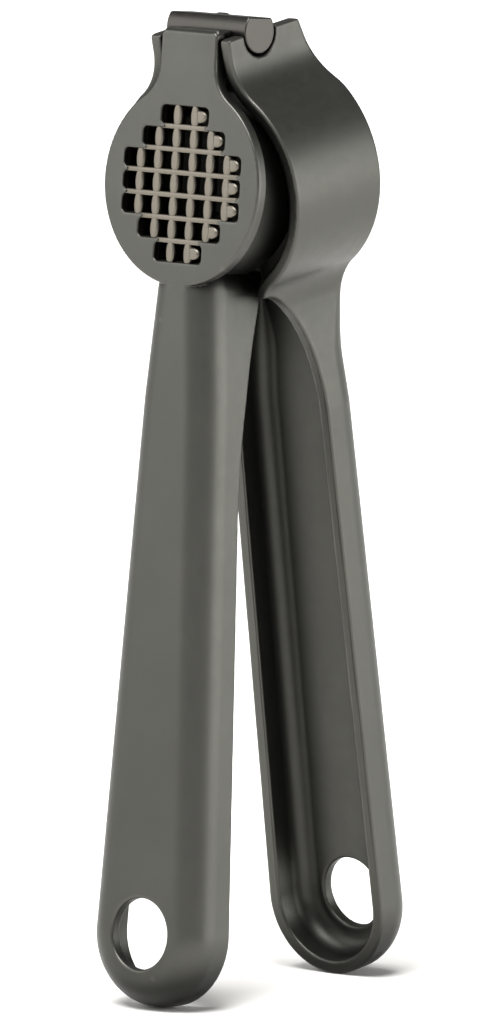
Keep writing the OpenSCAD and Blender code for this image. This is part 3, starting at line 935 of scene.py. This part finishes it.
def satin_coat(finish):
    """Zinc alloy, die cast, coated satin grey: a soft broad sheen, a fine even grain, lighter edges.

    Deep in the channels the tone falls, as painted shade where walls are near.
    """
    material, tree, shader, where = new_material("satin_coated_zinc")
    if tree is None:
        return material
    cloud = add_node(tree, "ShaderNodeTexNoise", Vector=where, Scale=1 / 0.016, Detail=3.0, Roughness=0.55)
    tone = spread(tree, cloud.outputs[0], 0.95, 1.05)
    pointed = add_node(tree, "ShaderNodeNewGeometry").outputs["Pointiness"]
    worn = spread(tree, pointed, 0.0, 0.4, 0.51, 0.6)
    base = add_node(
        tree,
        "ShaderNodeMix",
        {"data_type": "RGBA"},
        _0=worn,
        _6=linear(finish.coat),
        _7=linear(finish.coat_worn),
    )
    toned = scaled(tree, base.outputs[2], tone)
    # Painted shade: ambient occlusion darkens the coat's colour where walls are near.
    hidden = add_node(tree, "ShaderNodeAmbientOcclusion", {"samples": 12}, Distance=finish.cavity_reach)
    unshaded_share = spread(tree, hidden.outputs["AO"], finish.cavity, 1.0, 0.55, 0.97)
    painted_shade_base = scaled(tree, toned, unshaded_share)
    tree.links.new(painted_shade_base, shader.inputs["Base Color"])
    shader.inputs["Metallic"].default_value = finish.metallic
    speck = add_node(tree, "ShaderNodeTexNoise", Vector=where, Scale=1 / 0.0018, Detail=4.0, Roughness=0.6)
    rough = spread(tree, speck.outputs[0], finish.roughness - 0.03, finish.roughness + 0.03)
    tree.links.new(rough, shader.inputs["Roughness"])
    grain = add_node(
        tree, "ShaderNodeTexNoise", Vector=where, Scale=1 / finish.grain, Detail=2.0, Roughness=0.5
    )
    bump = add_node(tree, "ShaderNodeBump", Height=grain.outputs[0], Strength=0.12, Distance=0.00003)
    tree.links.new(bump.outputs[0], shader.inputs["Normal"])
    return material


def stainless_steel(finish):
    """Stainless steel sheet, punched and tumbled: warm grey, softly blurred, with fine rolling lines."""
    material, tree, shader, where = new_material("tumbled_stainless_steel")
    if tree is None:
        return material
    along = add_node(tree, "ShaderNodeMapping", Vector=where, Scale=(60.0, 900.0, 3500.0))
    lines = add_node(tree, "ShaderNodeTexNoise", Vector=along.outputs[0], Scale=1.0, Detail=3.0)
    tone = spread(tree, lines.outputs[0], 0.93, 1.05)
    shade = scaled(tree, linear(finish.steel)[:3], tone)
    tree.links.new(shade, shader.inputs["Base Color"])
    shader.inputs["Metallic"].default_value = 1.0
    rough = spread(tree, lines.outputs[0], 0.38, 0.48)
    tree.links.new(rough, shader.inputs["Roughness"])
    bump = add_node(tree, "ShaderNodeBump", Height=lines.outputs[0], Strength=0.15, Distance=0.00003)
    tree.links.new(bump.outputs[0], shader.inputs["Normal"])
    return material


def steel_painted_shade(finish):
    """The same steel for the sheet behind the holes, painted dark as shade where light doesn't reach."""
    material, tree, shader, where = new_material("dulled_stainless_steel")
    if tree is None:
        return material
    shade_mottle = add_node(tree, "ShaderNodeTexNoise", Vector=where, Scale=1 / 0.0015, Detail=3.0)
    # Painted shade: the steel's colour cut to 7 to 16 per cent, in a random mottle.
    dark, light = [tuple(c * part for c in linear(finish.steel)[:3]) + (1.0,) for part in (0.07, 0.16)]
    shade = add_node(tree, "ShaderNodeMix", {"data_type": "RGBA"}, _0=shade_mottle.outputs[0], _6=dark, _7=light)
    tree.links.new(shade.outputs[2], shader.inputs["Base Color"])
    shader.inputs["Metallic"].default_value = 1.0
    shader.inputs["Roughness"].default_value = 0.55
    return material


def turned_bar(finish):
    """Steel rod, turned and dulled: darker than the castings' coat, with very fine rings round it."""
    material, tree, shader, where = new_material("turned_steel_rod")
    if tree is None:
        return material
    rings = add_node(tree, "ShaderNodeMapping", Vector=where, Scale=(4000.0, 60.0, 60.0))
    lines = add_node(tree, "ShaderNodeTexNoise", Vector=rings.outputs[0], Scale=1.0, Detail=2.0)
    tone = spread(tree, lines.outputs[0], 0.94, 1.05)
    shade = scaled(tree, linear(finish.bar)[:3], tone)
    tree.links.new(shade, shader.inputs["Base Color"])
    shader.inputs["Metallic"].default_value = 1.0
    rough = spread(tree, lines.outputs[0], 0.33, 0.4)
    tree.links.new(rough, shader.inputs["Roughness"])
    return material


def floor_paint(studio):
    """Matt painted board: an even pale floor with the faintest mottle."""
    material, tree, shader, where = new_material("matt_floor_paint")
    if tree is None:
        return material
    mottle = add_node(tree, "ShaderNodeTexNoise", Vector=where, Scale=3.0, Detail=2.0)
    tone = spread(tree, mottle.outputs[0], 0.985, 1.0)
    shade = scaled(tree, linear(studio.floor)[:3], tone)
    tree.links.new(shade, shader.inputs["Base Color"])
    shader.inputs["Roughness"].default_value = 0.9
    shader.inputs["Specular IOR Level"].default_value = 0.1
    return material


# ---------------------------------------------------------------- the studio


def towards(a, e):
    """Unit vector from the press towards an azimuth and an elevation, in radians."""
    return Vector((math.sin(a) * math.cos(e), -math.cos(a) * math.cos(e), math.sin(e)))


def soft_box(name, azimuth, elevation, distance, width, height, power, aim=(0.0, 0.0, 0.09)):
    """A rectangular soft light at a direction round the press, facing it."""
    data = bpy.data.lights.new(name, "AREA")
    data.shape = "RECTANGLE"
    data.size, data.size_y, data.energy = width, height, power
    lamp = bpy.data.objects.new(name, data)
    bpy.context.collection.objects.link(lamp)
    back = towards(math.radians(azimuth), math.radians(elevation))
    lamp.location = Vector(aim) + back * distance
    lamp.visible_camera = False
    lamp.rotation_euler = (-back).to_track_quat("-Z", "Y").to_euler()
    return lamp


class PRESS_OT_studio(bpy.types.Operator):
    """Makes the floor, the lights and the camera"""

    bl_idname = "press.studio"
    bl_label = "Studio"

    def execute(self, context):
        scene, studio = context.scene, context.scene.press_studio
        mesh = bpy.data.meshes.new("floor")
        reach = 40.0
        mesh.from_pydata(
            [(-reach, -reach, 0), (reach, -reach, 0), (reach, reach, 0), (-reach, reach, 0)],
            [],
            [(0, 1, 2, 3)],
        )
        mesh.materials.append(floor_paint(studio))
        floor = bpy.data.objects.new("floor", mesh)
        floor.location.z = CAD_BOX[0][2] - 0.00002
        context.collection.objects.link(floor)

        world = bpy.data.worlds.new("studio_room")
        world.use_nodes = True
        shade = world.node_tree.nodes["Background"]
        shade.inputs["Color"].default_value = (1.0, 1.0, 1.0, 1.0)
        shade.inputs["Strength"].default_value = studio.sky
        scene.world = world

        top = bpy.data.lights.new("top_light", "SUN")
        top.energy, top.angle = studio.top, math.radians(40)
        lamp = bpy.data.objects.new("top_light", top)
        lamp.rotation_euler = (math.radians(22), math.radians(8), 0)
        context.collection.objects.link(lamp)
        soft_box(
            "front_box", azimuth=-42, elevation=24, distance=0.7, width=0.55, height=0.45, power=studio.key
        )
        soft_box(
            "side_box", azimuth=116, elevation=4, distance=1.1, width=1.1, height=0.7, power=studio.side
        )

        data = bpy.data.cameras.new("camera")
        data.lens, data.sensor_width = studio.lens, 36.0
        data.clip_start, data.clip_end = 0.5, 100.0
        camera = bpy.data.objects.new("camera", data)
        context.collection.objects.link(camera)
        back = towards(studio.azimuth, studio.elevation)
        turn = (-back).to_track_quat("-Z", "Y").to_matrix()
        turn = turn @ Matrix.Rotation(studio.roll, 3, "Z")
        aim = Vector(studio.aim) + turn.col[0] * studio.shift_right + turn.col[1] * studio.shift_up
        camera.matrix_world = Matrix.LocRotScale(aim + back * studio.distance, turn.to_quaternion(), None)
        scene.camera = camera
        scene.view_settings.view_transform = "Standard"
        return {"FINISHED"}


class PRESS_PT_panel(bpy.types.Panel):
    """Lists the pieces of the press in the 3D view's sidebar"""

    bl_idname = "PRESS_PT_panel"
    bl_label = "Garlic press"
    bl_space_type = "VIEW_3D"
    bl_region_type = "UI"
    bl_category = "Press"

    def draw(self, context):
        layout, scene = self.layout, context.scene
        for group in GROUPS:
            box = layout.box()
            settings = getattr(scene, group)
            for name in settings.bl_rna.properties.keys():
                if name not in ("rna_type", "name"):
                    box.prop(settings, name)
        for operator in OPERATORS:
            layout.operator(operator.bl_idname)


GROUPS = {
    "press_casting": CastingSizes,
    "press_front": FrontArmSizes,
    "press_rear": RearArmSizes,
    "press_sieve": SieveSizes,
    "press_finish": CoatFinish,
    "press_studio": StudioSettings,
}
OPERATORS = [
    PRESS_OT_front_casting,
    PRESS_OT_rear_casting,
    PRESS_OT_hinge_bar,
    PRESS_OT_plunger,
    PRESS_OT_sieve,
    PRESS_OT_studio,
]
CLASSES = [*GROUPS.values(), *OPERATORS, PRESS_PT_panel]


def register():
    for cls in CLASSES:
        bpy.utils.register_class(cls)
    for name, group in GROUPS.items():
        setattr(bpy.types.Scene, name, PointerProperty(type=group))


def unregister():
    for name in GROUPS:
        delattr(bpy.types.Scene, name)
    for cls in reversed(CLASSES):
        bpy.utils.unregister_class(cls)


def main():
    register()
    bpy.ops.press.front_casting()
    bpy.ops.press.rear_casting()
    bpy.ops.press.hinge_bar()
    bpy.ops.press.plunger()
    bpy.ops.press.sieve()
    bpy.ops.press.studio()


if __name__ == "__main__":
    main()
